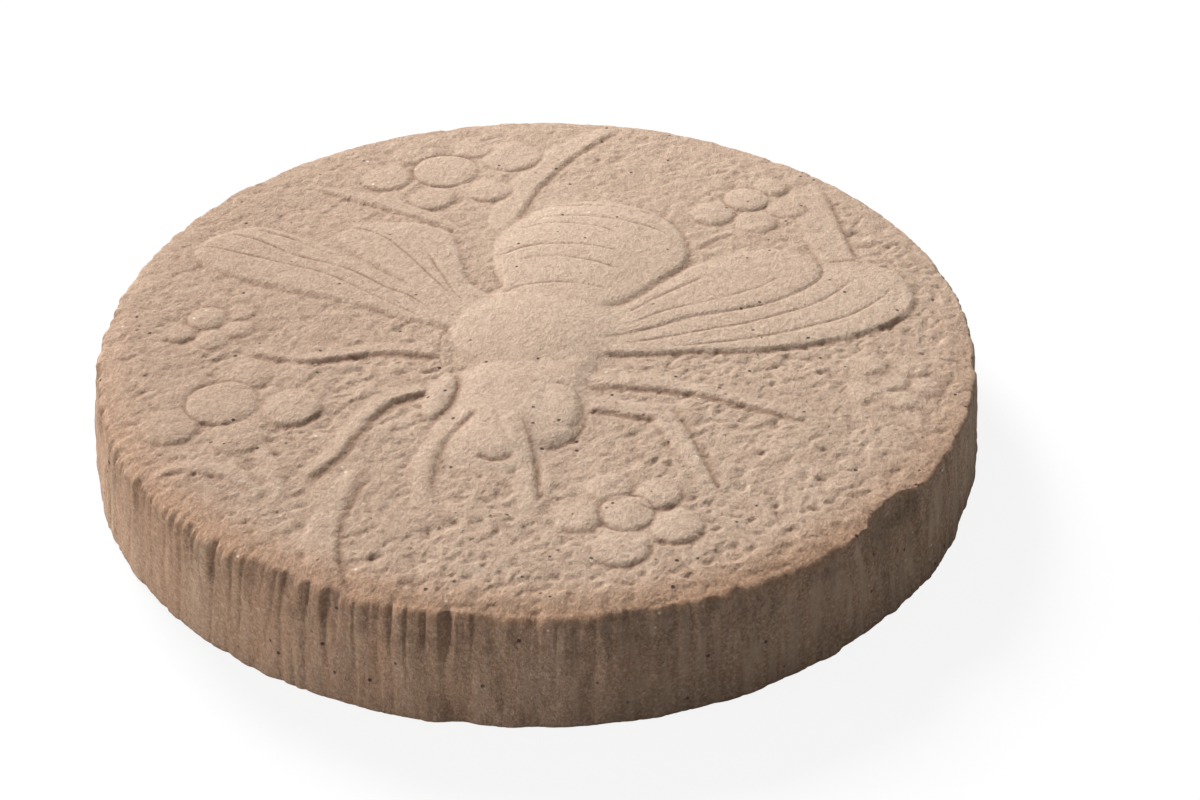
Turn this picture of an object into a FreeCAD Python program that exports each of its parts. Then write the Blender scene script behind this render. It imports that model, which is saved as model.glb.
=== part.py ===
"""Round garden stepping stone, cast in one piece, with a bee among flowers in low relief.

Millimetres. +Z is up, and the origin is the centre of the underside. The stone is cast face down in a
round mould with some draft, so its underside is a little wider than its tread. The relief stands up from
the tread: a bee seen from above, its head towards -Y, with daisies and grass blades round it.
"""

import FreeCAD
import Part

import math
import os

from FreeCAD import Vector

# The slab
TREAD_DIAMETER = 300.0
THICKNESS = 38.5
MOULD_FLARE = 5.0
RIM_WEAR_WIDTH = 2.0
RIM_WEAR_DROP = 1.4
RIM_WEAR_STEPS = 2
BASE_CHAMFER = 0.8

# The piece that broke off the rim
CHIP_BEARING = -41.5
CHIP_RADIUS = 13.5
CHIP_DEPTH = 7.0

# How far each kind of form stands above the tread
THORAX_RISE = 3.3
ABDOMEN_RISE = 3.0
HEAD_RISE = 2.8
NECK_RISE = 2.4
FACE_RISE = 2.6
MOUTH_RISE = 1.7
RIGHT_EYE_RISE = 3.2
LEFT_EYE_RISE = 2.4
FORE_WING_RISE = 1.5
HIND_WING_RISE = 1.9
LIMB_RISE = 1.3
BLADE_RISE = 1.1
PETAL_RISE = 1.3
DISC_RISE = 1.7

# The relief's points below are drawn for a tread of this diameter, and grow and shrink with the tread
DRAWN_DIAMETER = 300.0

# The relief stops this far inside the worn rim
RELIEF_MARGIN = 2.0

# How the forms meet the tread: they root below it, and their sides lean in as they rise
ROOT_DEPTH = 1.5
SIDE_LEAN = 0.6

# The steps of a mound's side, each as a share of its foot's width and of its rise
BODY_STEPS = ((0.93, 0.38), (0.72, 0.68), (0.4, 1.0))
EYE_STEPS = ((0.85, 0.55), (0.5, 1.0))
FLOWER_STEPS = ((0.88, 1.0),)

# The lines drawn in the wings and the abdomen
VEIN_WIDTH = 1.4
VEIN_DEPTH = 0.7
BAND_WIDTH = 1.6
BAND_DEPTH = 0.7

# The bee's body: centre, half widths across and along, turn in degrees, rise
BEE_TURN = -12.0
ABDOMEN = ((17.0, 46.0), (35.0, 38.5), BEE_TURN, ABDOMEN_RISE)
THORAX = ((-0.5, -3.5), (31.5, 26.5), 0.0, THORAX_RISE)
NECK = ((-5.0, -28.0), (23.0, 13.0), 0.0, NECK_RISE)
HEAD = ((-4.0, -50.0), (22.5, 22.5), 0.0, HEAD_RISE)
FACE = ((-10.0, -60.5), (14.0, 16.5), BEE_TURN, FACE_RISE)
MOUTH = ((-11.0, -74.0), (6.5, 4.5), 0.0, MOUTH_RISE)
RIGHT_EYE = ((9.5, -46.8), (6.2, 12.6), -BEE_TURN, RIGHT_EYE_RISE)
LEFT_EYE = ((-31.0, -43.5), (5.2, 13.2), BEE_TURN, LEFT_EYE_RISE)

# The bands of the abdomen, as the points of each line
BANDS = (
    ((-9.0, 39.5), (0.0, 41.5), (12.0, 41.5), (28.0, 36.0)),
    ((-13.0, 45.0), (-4.0, 48.5), (8.0, 50.0), (20.0, 48.5), (32.0, 44.0)),
    ((-9.5, 60.0), (0.0, 63.5), (12.0, 64.5), (26.0, 60.0)),
    ((-1.0, 69.5), (12.0, 71.5), (28.0, 69.0), (41.0, 62.0)),
)

# The wings, as the points of their outlines
RIGHT_FORE_WING = (
    (26.0, -19.5), (50.0, -17.5), (75.0, -16.0), (99.0, -10.0), (118.0, 0.0), (129.5, 9.0),
    (132.5, 20.0), (129.0, 33.0), (116.0, 40.0), (102.0, 37.0), (88.0, 25.0), (60.0, 11.0), (30.0, 0.0),
)
RIGHT_HIND_WING = (
    (29.0, -6.0), (45.0, 0.5), (60.0, 6.0), (75.0, 11.0), (89.0, 19.5), (99.0, 29.0), (101.0, 38.0),
    (95.0, 46.0), (84.0, 50.0), (66.0, 45.0), (46.0, 31.0), (30.0, 13.0),
)
LEFT_FORE_WING = (
    (-30.0, 6.0), (-36.0, -1.0), (-48.0, 3.5), (-62.0, 9.5), (-78.0, 15.5), (-98.0, 22.5), (-119.0, 33.5),
    (-127.0, 42.0), (-123.0, 53.5), (-110.0, 60.0), (-92.0, 57.0), (-70.0, 43.0), (-48.0, 25.0),
)
LEFT_HIND_WING = (
    (-20.0, 17.0), (-27.0, 33.0), (-31.5, 50.0), (-36.0, 61.0), (-52.0, 66.5), (-67.0, 66.0),
    (-76.5, 59.0), (-71.0, 48.5), (-58.0, 34.0), (-45.0, 20.0), (-32.0, 7.0),
)

# The veins of each wing, as the points of each line
RIGHT_FORE_VEINS = (
    ((98.0, 16.0), (108.0, 22.0), (114.0, 30.0)),
    ((63.0, -11.0), (81.0, -6.5), (98.0, 0.5), (110.0, 7.5), (120.0, 19.0)),
    ((46.0, -9.0), (62.0, -3.5), (78.0, 2.5), (92.0, 9.5)),
)
RIGHT_HIND_VEINS = (
    ((40.0, 5.5), (52.0, 11.5), (66.0, 17.5), (78.0, 24.5), (87.0, 34.0)),
    ((42.0, 17.0), (52.0, 25.5), (64.0, 34.0)),
)
LEFT_FORE_VEINS = (
    ((-115.0, 43.5), (-103.0, 39.5), (-88.0, 33.0), (-72.0, 24.5), (-56.0, 14.5)),
    ((-111.0, 52.5), (-98.0, 47.0), (-84.0, 39.0)),
)
LEFT_HIND_VEINS = (
    ((-66.0, 56.5), (-59.0, 49.5), (-50.0, 38.5), (-42.0, 27.5)),
    ((-45.0, 58.0), (-41.5, 46.0), (-36.0, 32.0)),
)

# The limbs: the points of each middle line, and the width at its first and last point
ANTENNAE = (
    (((-21.0, -50.0), (-27.0, -59.0), (-31.0, -68.5), (-33.0, -81.0), (-33.0, -98.0)), 7.5, 6.5),
    (((-8.0, -55.0), (-4.5, -64.0), (-2.0, -76.0), (-1.0, -88.0), (-0.5, -103.0)), 7.5, 7.0),
)
LEGS = (
    (((-33.0, -17.0), (-50.0, -15.5), (-65.0, -19.0), (-79.0, -22.0), (-95.0, -17.5)), 8.0, 6.0),
    (((-36.0, -38.0), (-47.0, -44.0), (-54.0, -53.5), (-59.0, -65.0), (-63.0, -76.0), (-71.0, -87.0)), 8.0, 6.0),
    (((15.0, -32.5), (31.0, -33.5), (45.0, -35.5), (57.0, -39.0), (70.0, -44.0), (88.0, -52.5)), 9.0, 6.0),
    (((14.0, -44.5), (24.0, -47.0), (33.0, -49.5), (41.0, -50.5)), 9.0, 8.5),
    (((41.0, -51.5), (46.0, -62.5), (50.0, -73.0), (55.5, -88.0)), 8.5, 6.5),
)

# The grass blades and leaves: the points of each middle line, and the width there
BLADES = (
    (((-16.0, 65.0), (-14.5, 78.0), (-9.0, 96.0), (-0.5, 113.0), (10.0, 129.0), (26.0, 141.0)),
     (3.0, 12.0, 13.0, 12.5, 10.0, 3.0)),
    (((-92.0, 93.0), (-74.0, 86.5), (-57.0, 78.5), (-42.0, 70.0), (-31.0, 61.0)), (2.5, 8.0, 9.5, 8.0, 4.0)),
    (((97.0, 93.0), (101.5, 76.0), (104.0, 60.0), (108.0, 45.0)), (10.0, 14.0, 13.0, 11.0)),
    (((-115.0, -79.5), (-103.0, -81.0), (-92.0, -84.5), (-83.0, -91.5)), (3.0, 8.0, 8.0, 3.0)),
    (((-54.0, -83.0), (-58.0, -98.0), (-59.5, -114.0), (-56.5, -129.0), (-50.0, -143.0)),
     (3.0, 8.5, 9.5, 9.0, 7.0)),
)

# The daisies: the disc's centre and radius, then each petal's centre and radius
DAISIES = (
    ((-41.0, 110.5, 14.0), (
        (-64.0, 104.0, 12.5), (-45.0, 89.0, 11.0), (-22.0, 95.0, 11.0),
        (-15.0, 121.0, 13.5), (-36.0, 131.0, 11.0), (-60.0, 124.0, 10.5))),
    ((77.0, 89.0, 9.5), (
        (62.0, 80.0, 9.5), (79.0, 71.5, 9.5), (93.0, 82.0, 10.0), (88.0, 101.0, 9.5), (67.0, 102.0, 9.5))),
    ((-115.5, 3.0, 8.0), (
        (-104.5, 8.0, 7.5), (-103.5, -4.0, 7.5), (-112.0, -11.5, 8.0),
        (-124.0, -6.5, 8.0), (-128.0, 7.0, 8.0), (-115.0, 15.0, 8.0))),
    ((-101.8, -48.0, 13.0), (
        (-79.5, -49.0, 11.8), (-97.0, -27.0, 11.0), (-79.5, -31.0, 9.0),
        (-98.0, -68.0, 11.0), (-118.0, -60.0, 11.0), (-122.0, -40.0, 10.0))),
    ((30.0, -102.0, 9.2), (
        (21.0, -89.0, 9.5), (38.0, -90.0, 9.0), (46.0, -107.0, 9.5), (28.0, -118.0, 10.0), (13.5, -104.0, 9.0))),
)

TREAD_RADIUS = TREAD_DIAMETER / 2
BASE_RADIUS = TREAD_RADIUS + MOULD_FLARE
DRAWING_SCALE = TREAD_DIAMETER / DRAWN_DIAMETER


def turned(corners):
    """A solid turned round Z from the corners of its section, given as (radius, height)."""
    points = [Vector(radius, 0, height) for radius, height in corners]
    section = Part.Face(Part.makePolygon(points + points[:1]))
    return section.revolve(Vector(0, 0, 0), Vector(0, 0, 1), 360)


def slab():
    """The disc: a flared side wall, a worn rim in a few facets, and a small chamfer underneath."""
    flare = MOULD_FLARE / THICKNESS
    corners = [(0, 0), (BASE_RADIUS - BASE_CHAMFER, 0)]
    corners.append((BASE_RADIUS - flare * BASE_CHAMFER, BASE_CHAMFER))
    for i in range(RIM_WEAR_STEPS + 1):
        angle = math.pi / 2 * i / RIM_WEAR_STEPS
        drop = RIM_WEAR_DROP * (1 - math.sin(angle))
        inwards = RIM_WEAR_WIDTH * (1 - math.cos(angle)) - flare * drop
        corners.append((TREAD_RADIUS - inwards, THICKNESS - drop))
    corners.append((0, THICKNESS))
    return turned(corners)


def rim_chip():
    """The round scoop that the broken piece left in the rim, as the solid to cut away."""
    bearing = math.radians(CHIP_BEARING)
    reach = TREAD_RADIUS - CHIP_DEPTH + CHIP_RADIUS
    centre = Vector(reach * math.cos(bearing), reach * math.sin(bearing), THICKNESS)
    return Part.makeSphere(CHIP_RADIUS, centre)


def ellipse(half_widths, height):
    """A closed elliptical wire round Z, at that height."""
    across, along = half_widths
    if across == along:
        return Part.Wire(Part.Circle(Vector(0, 0, height), Vector(0, 0, 1), across).toShape())
    curve = Part.Ellipse(Vector(0, 0, height), max(across, along), min(across, along))
    wire = Part.Wire(curve.toShape())
    if along > across:
        wire.rotate(Vector(0, 0, 0), Vector(0, 0, 1), 90)
    return wire


def mound(centre, half_widths, turn, rise, steps):
    """A pillow form on an elliptical foot: its sides lean in, in steps that get flatter, to a level top."""
    rings = [ellipse([half * DRAWING_SCALE for half in half_widths], -ROOT_DEPTH)]
    for share, up in steps:
        rings.append(ellipse([share * half * DRAWING_SCALE for half in half_widths], up * rise))
    form = Part.makeLoft(rings, True, True)
    form.rotate(Vector(0, 0, 0), Vector(0, 0, 1), turn)
    form.translate(Vector(centre[0] * DRAWING_SCALE, centre[1] * DRAWING_SCALE, THICKNESS))
    return form


def flat_points(points, height):
    """The drawn points at that height, grown or shrunk with the tread."""
    return [Vector(x * DRAWING_SCALE, y * DRAWING_SCALE, height) for x, y in points]


def loop(points, height):
    """A smooth closed wire through the points, at that height."""
    curve = Part.BSplineCurve()
    curve.interpolate(Points=flat_points(points, height), PeriodicFlag=True)
    return Part.Wire(curve.toShape())


def inset(points, distance):
    """The closed outline's points moved inwards, square to the line between their neighbours."""
    moved = []
    count = len(points)
    area = sum(points[i - 1][0] * points[i][1] - points[i][0] * points[i - 1][1] for i in range(count))
    side = math.copysign(distance, area)
    for i, (x, y) in enumerate(points):
        along_x = points[(i + 1) % count][0] - points[i - 1][0]
        along_y = points[(i + 1) % count][1] - points[i - 1][1]
        length = math.hypot(along_x, along_y)
        moved.append((x - side * along_y / length, y + side * along_x / length))
    return moved


def pad(points, rise):
    """A flat raised field with leaning sides, from under the tread to its rise above it."""
    foot = loop(points, THICKNESS - ROOT_DEPTH)
    crown = loop(inset(points, SIDE_LEAN * (rise + ROOT_DEPTH)), THICKNESS + rise)
    return Part.makeLoft([foot, crown], True, True)


def side_curve(points):
    """A smooth open edge through the points."""
    curve = Part.BSplineCurve()
    curve.interpolate(Points=points)
    return curve.toShape()


def ribbon(path, widths, height):
    """The closed wire of a band with pointed ends that follows a path, its width given at each point."""
    left, right = [], []
    last = len(path) - 1
    for i, (x, y) in enumerate(path):
        ahead, behind = path[min(i + 1, last)], path[max(i - 1, 0)]
        length = math.hypot(ahead[0] - behind[0], ahead[1] - behind[1])
        step_x, step_y = (ahead[0] - behind[0]) / length, (ahead[1] - behind[1]) / length
        half = widths[i] / 2
        left.append((x - half * step_y, y + half * step_x))
        right.append((x + half * step_y, y - half * step_x))
        if i == 0:
            tail = (x - half * step_x, y - half * step_y)
        if i == last:
            tip = (x + half * step_x, y + half * step_y)
    left, right = flat_points(left, height), flat_points(right, height)
    tail, tip = flat_points([tail, tip], height)
    ends = Part.makePolygon([left[-1], tip, right[-1]]).Edges
    starts = Part.makePolygon([right[0], tail, left[0]]).Edges
    return Part.Wire([side_curve(left)] + ends + [side_curve(right[::-1])] + starts)


def ridge(path, widths, rise):
    """A raised band along a path: its crown is narrower than its foot."""
    foot = ribbon(path, widths, THICKNESS - ROOT_DEPTH)
    crown = ribbon(path, [width / 2 for width in widths], THICKNESS + rise)
    return Part.makeLoft([foot, crown], True, True)


def limb(path, first_width, last_width, rise):
    """A ridge whose width changes evenly from end to end."""
    steps = len(path) - 1
    widths = [first_width + (last_width - first_width) * i / steps for i in range(steps + 1)]
    return ridge(path, widths, rise)


def line_cutter(line, width, floor_height, height):
    """The upright band that cuts a drawn line, from its floor upwards."""
    outline = ribbon(line, [width for point in line], floor_height)
    return Part.Face(outline).extrude(Vector(0, 0, height))


def abdomen():
    """The abdomen, with its bands drawn in it to an even depth."""
    centre, half_widths, turn, rise = ABDOMEN
    inner_widths = [half_width - BAND_DEPTH for half_width in half_widths]
    floor = mound(centre, inner_widths, turn, rise - BAND_DEPTH, BODY_STEPS)
    form = mound(*ABDOMEN, BODY_STEPS)
    for line in BANDS:
        cutter = line_cutter(line, BAND_WIDTH, THICKNESS, 2 * rise)
        form = form.cut(cutter.cut(floor))
    return form


def wing(outline, rise, veins):
    """A wing, with its veins drawn in it."""
    form = pad(outline, rise)
    for line in veins:
        form = form.cut(line_cutter(line, VEIN_WIDTH, THICKNESS + rise - VEIN_DEPTH, 2 * rise))
    return form


def daisy(disc, petals):
    """A daisy: a round disc, and the round petals about it."""
    forms = []
    for round_form, rise in [(disc, DISC_RISE)] + [(petal, PETAL_RISE) for petal in petals]:
        x, y, radius = round_form
        forms.append(mound((x, y), (radius, radius), 0.0, rise, FLOWER_STEPS))
    return forms


def relief():
    """Every raised form, joined and kept inside the rim."""
    forms = [abdomen()] + [mound(*part, BODY_STEPS) for part in (THORAX, NECK, HEAD, FACE)]
    forms += [mound(*part, EYE_STEPS) for part in (MOUTH, RIGHT_EYE, LEFT_EYE)]
    forms.append(wing(RIGHT_FORE_WING, FORE_WING_RISE, RIGHT_FORE_VEINS))
    forms.append(wing(RIGHT_HIND_WING, HIND_WING_RISE, RIGHT_HIND_VEINS))
    forms.append(wing(LEFT_FORE_WING, FORE_WING_RISE, LEFT_FORE_VEINS))
    forms.append(wing(LEFT_HIND_WING, HIND_WING_RISE, LEFT_HIND_VEINS))
    forms += [limb(*part, LIMB_RISE) for part in ANTENNAE + LEGS]
    forms += [ridge(path, widths, BLADE_RISE) for path, widths in BLADES]
    for disc, petals in DAISIES:
        forms += daisy(disc, petals)
    joined = forms[0].fuse(forms[1:])
    field_radius = TREAD_RADIUS - RIM_WEAR_WIDTH - RELIEF_MARGIN
    field = Part.makeCylinder(field_radius, THICKNESS, Vector(0, 0, THICKNESS / 2))
    return joined.common(field)


def stepping_stone():
    """The whole casting, as one solid."""
    stone = slab().fuse(relief()).cut(rim_chip())
    return stone.removeSplitter()


def main():
    os.makedirs("parts", exist_ok=True)
    stone = stepping_stone()
    print("valid", stone.isValid(), "solids", len(stone.Solids), "faces", len(stone.Faces))
    stone.exportStep("parts/stepping_stone.step")


main()
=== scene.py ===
"""Dresses the cast garden stepping stone: its relief, its rough ground, its worn rim and its stained wall.

Shapes are worked out in millimetres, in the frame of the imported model: +Z is up and the origin is the
centre of the underside. They go into the meshes in metres.
"""

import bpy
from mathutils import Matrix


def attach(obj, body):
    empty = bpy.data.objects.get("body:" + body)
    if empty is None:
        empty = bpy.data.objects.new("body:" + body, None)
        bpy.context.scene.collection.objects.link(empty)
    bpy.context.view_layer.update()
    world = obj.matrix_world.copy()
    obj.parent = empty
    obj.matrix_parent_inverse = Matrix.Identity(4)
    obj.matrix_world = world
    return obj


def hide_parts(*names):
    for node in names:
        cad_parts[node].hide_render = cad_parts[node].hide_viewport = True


bl_info = {
    "name": "Cast Stepping Stone",
    "version": (1, 0, 0),
    "blender": (4, 5, 0),
    "location": "3D View > Sidebar > Stepping Stone",
    "description": "A round cast stone with a bee and daisies in low relief, and a plain studio for it",
    "category": "Add Mesh",
}

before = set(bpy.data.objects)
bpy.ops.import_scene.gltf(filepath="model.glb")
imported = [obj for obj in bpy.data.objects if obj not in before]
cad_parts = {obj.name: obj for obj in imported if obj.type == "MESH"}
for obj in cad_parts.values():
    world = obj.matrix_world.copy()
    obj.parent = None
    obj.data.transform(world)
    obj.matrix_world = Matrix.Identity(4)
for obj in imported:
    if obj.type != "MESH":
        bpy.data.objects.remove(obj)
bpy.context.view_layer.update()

import math

import bpy
import numpy as np
from mathutils import Euler, Matrix

MM = 0.001

# The casting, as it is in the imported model
BASE_RADIUS = 155.0
TREAD_RADIUS = 150.0
THICKNESS = 38.5

# The chamfer round the underside, and the radius of the turned rim on its least worn and most worn side
BASE_CHAMFER = 0.5
RIM_ROLL = (1.2, 3.6)

# The relief's raster
RASTER_CELL = 0.4
RASTER_REACH = 152.0

# Which way the forms lean: they stand out on this side and sink into the ground on the other
LEAN = (0.45, -0.89)

# Heights of the relief's forms: the step at the edge, and what the crown adds. The face, the mouth, the
# right eye and the limbs stand on what is below them, and all the others on the tread
THORAX_HEIGHTS = (0.45, 2.4)
ABDOMEN_HEIGHTS = (1.1, 1.9)
HEAD_HEIGHTS = (0.65, 1.4)
FACE_HEIGHTS = (0.0, 0.5)
CHIN_HEIGHTS = (0.0, 1.7)
MOUTH_HEIGHTS = (0.0, 0.2)
RIGHT_EYE_HEIGHTS = (0.1, 0.5)
LEFT_EYE_HEIGHTS = (0.7, 0.7)
FORE_WING_HEIGHTS = (0.8, 0.3)
HIND_WING_HEIGHTS = (0.95, 0.3)
LEG_STEP = 0.9
ANTENNA_STEP = 0.9
BLADE_STEP = 0.85
STEM_STEP = 0.6
PETAL_HEIGHTS = (0.5, 0.5)
DISC_HEIGHTS = (0.4, 0.5)
FAINT_PETAL_HEIGHTS = (0.5, 0.2)

# The bee's body: centre, half widths across and along, turn in degrees
BEE_TURN = -12.0
THORAX = ((-0.5, -3.5), (31.5, 26.5), 0.0)
FACE = ((-10.5, -60.0), (14.0, 17.5), BEE_TURN)
CHIN = ((-11.0, -68.0), (18.0, 15.5), 0.0)
MOUTH = ((-11.0, -73.5), (6.0, 4.5), 8.0)
RIGHT_EYE = ((9.8, -49.0), (6.4, 12.4), -BEE_TURN)
LEFT_EYE = ((-31.0, -43.5), (5.2, 13.2), BEE_TURN)

# The outlines of the abdomen and of the head
ABDOMEN = (
    (32.5, 15), (42, 26), (52, 38), (53.5, 50), (51, 62), (45, 73), (33, 81.5), (17, 84.5), (2, 80),
    (-11, 68.5), (-17.5, 56), (-18.5, 44.5), (-16, 30), (-10, 18), (5, 10), (22, 10),
)
HEAD = (
    (17, -42), (17.8, -50), (16.5, -60), (14, -66), (9, -70.5), (1, -73), (-8, -74), (-17, -70),
    (-23.5, -61), (-27, -50), (-27, -38), (-22, -27), (-10, -18), (21, -18), (19, -30),
)

# Drawn lines: the width, the depth and the painted dirt and shade of each kind
FINE_LINE = (0.5, 0.45, 0.95)
DEEP_LINE = (0.85, 0.4, 1.2)
MOUTH_GROOVE = (0.9, 0.6, 1.2)
DISC_GROOVE = (0.6, 0.4, 1.0)
PETAL_GROOVE = (0.75, 0.2, 1.1)

# The lines drawn on the body: across the abdomen, round the thorax, and beside the left and the right eye
BODY_LINES = (
    ((-8, 39), (0, 41), (10, 40), (20, 37), (28, 33)),
    ((-15.5, 43), (-6, 48), (5, 49.5), (17, 48.5), (30, 44)),
    ((-9.5, 62), (0, 64.8), (6, 65), (20, 62.5), (27, 58)),
    ((-2, 70), (10, 71), (25, 69), (40, 63), (48, 57)),
    ((5, 80.5), (20, 80), (35, 76.5), (47, 70.5)),
    ((-14, 18.5), (-8, 21.5), (0, 23.6), (5, 24), (15, 23), (24, 20)),
    ((-31, -4), (-33, -10), (-33, -19), (-31.5, -27)),
    ((-26.5, -32), (-25.2, -38), (-25.8, -44.6), (-28, -51), (-30.8, -55.2)),
    ((5, -36.5), (9.5, -38), (12.8, -40.5), (15, -44.5), (16.3, -50.5), (15.6, -55.5), (13.8, -59.5),
     (11.5, -61.3)),
)
MOUTH_LINE = ((-16.5, -75.8), (-14, -77.2), (-11.5, -77.8), (-8.5, -77.4), (-5.5, -75.6))

# The lines at the feet of some forms, on the side where their shade falls, painted dark as that shade: the
# head, the right antenna, a leg, a blade and a leaf
FOOT_SHADE_LINES = (
    ((17.5, -53), (16.3, -60), (13, -66.5), (8, -70.5), (3, -72)),
    ((-3.5, -57.5), (-0.6, -67.5), (1.2, -77.5), (2.7, -85.4), (2.8, -95)),
    ((47.8, -54.3), (51.2, -64.6), (53.4, -73.7), (56, -82.6), (58.7, -90.3)),
    ((-49.8, -86.4), (-53.2, -99.6), (-55.1, -110.2), (-54.0, -122.5), (-51.6, -132.3), (-49, -139)),
    ((109.5, 88), (110.7, 76), (112.5, 62), (113.5, 52), (116, 43.5)),
    ((104.5, 41.5), (109, 42), (115.5, 42.8)),
)

# The wings' outlines
RIGHT_FORE_WING = (
    (20, -18), (39, -18.5), (55, -17), (75, -16), (95, -11.5), (113, -4.5), (126, 4.5), (131, 11),
    (133, 20), (131, 31), (125, 38.5), (115, 40.5), (102, 38), (88, 25), (60, 11), (20, -4),
)
RIGHT_HIND_WING = (
    (20, -12), (40, -3), (52, 3.5), (70, 9), (83, 14.5), (96, 24.5), (101.5, 33), (101, 41), (95, 47),
    (84, 50.5), (66, 45), (46, 31), (22, 8),
)
LEFT_FORE_WING = (
    (-20, 6), (-28, -3), (-36, -2), (-47, 1), (-57, 7), (-70, 12.5), (-82, 16.5), (-94, 20.5), (-108, 26.5),
    (-121, 34), (-128, 42), (-125, 53), (-116, 60), (-105, 63), (-92, 57), (-70, 43), (-48, 25),
)
LEFT_HIND_WING = (
    (-12, 12), (-25, 25), (-29.5, 43), (-33, 57), (-36, 61), (-43, 65), (-52, 67.5), (-67, 66),
    (-76.5, 59), (-74, 50), (-62, 37), (-45, 21), (-22, 0),
)

# The forms inside outlines, from the lowest up: the outline, the heights, how far in the dome reaches, the
# width of the edge's slope, the flush share, the strength of the moat, and how calm the surface is
FIELDS = (
    (RIGHT_FORE_WING, FORE_WING_HEIGHTS, 10.0, 1.3, 0.4, 0.8, 0.9),
    (RIGHT_HIND_WING, HIND_WING_HEIGHTS, 10.0, 1.1, 0.5, 0.1, 0.9),
    (LEFT_FORE_WING, FORE_WING_HEIGHTS, 10.0, 1.6, 0.3, 0.7, 0.9),
    (LEFT_HIND_WING, HIND_WING_HEIGHTS, 10.0, 1.4, 0.5, 0.2, 0.9),
    (ABDOMEN, ABDOMEN_HEIGHTS, 32.0, 1.6, 0.3, 0.9, 1.0),
    (HEAD, HEAD_HEIGHTS, 17.0, 5.0, 0.3, 0.0, 1.0),
)

# The ovals, from the lowest up: the ellipse, the heights, the reach of the blur that finds which way an edge
# faces, the slope's width, the flush share, the moat, and whether it stands on what is below it
OVALS = (
    (CHIN, CHIN_HEIGHTS, 8, 2.0, 1.0, 0.0, False),
    (THORAX, THORAX_HEIGHTS, 11, 4.0, 1.0, 0.0, False),
    (FACE, FACE_HEIGHTS, 7, 5.0, 0.0, 0.0, True),
    (MOUTH, MOUTH_HEIGHTS, 4, 1.6, 0.0, 0.2, True),
    (RIGHT_EYE, RIGHT_EYE_HEIGHTS, 6, 2.0, 0.2, 0.3, True),
    (LEFT_EYE, LEFT_EYE_HEIGHTS, 5, 1.5, 0.2, 1.0, False),
)

# The veins drawn in the wings
VEINS = (
    ((22, -10.5), (40, -3), (52, 3.5), (70, 9), (83, 14.5), (96, 24.5), (101.5, 33), (101, 41)),
    ((31, -12.5), (42, -9.5), (58, -4), (71, 0), (86, 7), (98, 14), (108, 24), (110.5, 28)),
    ((40, -15.5), (63, -11.5), (81, -6.5), (98, 0.5), (110, 7), (121, 17.5), (125, 24)),
    ((31, -2), (44, 7.5), (60, 14), (78, 23.5), (87, 32)),
    ((31, 6), (40, 14.5), (50, 23), (59, 30)),
    ((-127.5, 46), (-123, 47.5), (-110, 43), (-90, 35), (-78, 30), (-65, 20.5), (-50, 9), (-40, 1.5)),
    ((-118, 58), (-105, 52), (-90, 42), (-70, 33), (-56, 22), (-46, 15.5), (-34, 2.5)),
    ((-106, 60), (-92, 53), (-74, 41)),
    ((-76, 60), (-70, 62), (-60, 56), (-50, 44), (-38, 26), (-30, 14)),
    ((-42, 44), (-36, 30), (-30, 17), (-27, 13)),
)

# The limbs: the points of each middle line, and the width at its two ends
ANTENNAE = (
    (((-21, -50), (-27, -59), (-31, -68.5), (-33, -81), (-33, -98)), (7.5, 6.5)),
    (((-8, -55), (-4.5, -64), (-2, -76), (-1, -88), (-0.5, -103)), (7.5, 7.0)),
)
LEGS = (
    (((-33, -17), (-50, -15.5), (-65, -19), (-79, -22), (-95, -17.5)), (8.0, 6.0)),
    (((-36, -38), (-47, -44), (-54, -53.5), (-59, -65), (-63, -76), (-71, -87)), (8.0, 6.0)),
    (((17.5, -33), (31, -33.5), (45, -35.5), (57, -39), (70, -44), (90, -53)), (9.0, 6.0)),
    (((19, -46), (26, -47.5), (34, -49.5), (42, -50.5)), (9.0, 8.5)),
    (((41, -51.5), (46, -62.5), (50, -73), (55.5, -88)), (8.5, 6.5)),
)

# The grass blades and leaves: the points of each middle line, and widths at even steps along it
BLADES = (
    (((-17, 62), (-16, 71), (-14, 80), (-9, 96), (-0.5, 113), (7, 125), (24, 144)),
     (7, 12, 13, 13, 12.5, 12, 8)),
    (((-92, 94), (-74, 87.5), (-57, 79.5), (-42, 71), (-31, 61)), (2.5, 7, 8.5, 7, 3)),
    (((100, 92), (102.5, 76), (105, 60), (108, 44), (110, 32)), (15, 16, 16, 14, 14)),
    (((-116, -85), (-105, -81.5), (-93, -84), (-84, -92)), (3, 8, 8, 3)),
    (((-54, -83), (-59, -98), (-60.5, -114), (-58, -128), (-53, -143)), (5, 9.5, 11, 10, 8)),
)
# The daisies' stems: the points of each middle line, and the width at its two ends
STEMS = (
    (((-87, -68), (-82.5, -77), (-78.5, -87), (-76, -97)), (6.0, 5.0)),
    (((40, -111), (46, -119.5), (53, -131)), (5.0, 4.0)),
    (((54, 50), (62, 58), (72, 64)), (5.0, 3.0)),
)

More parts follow.
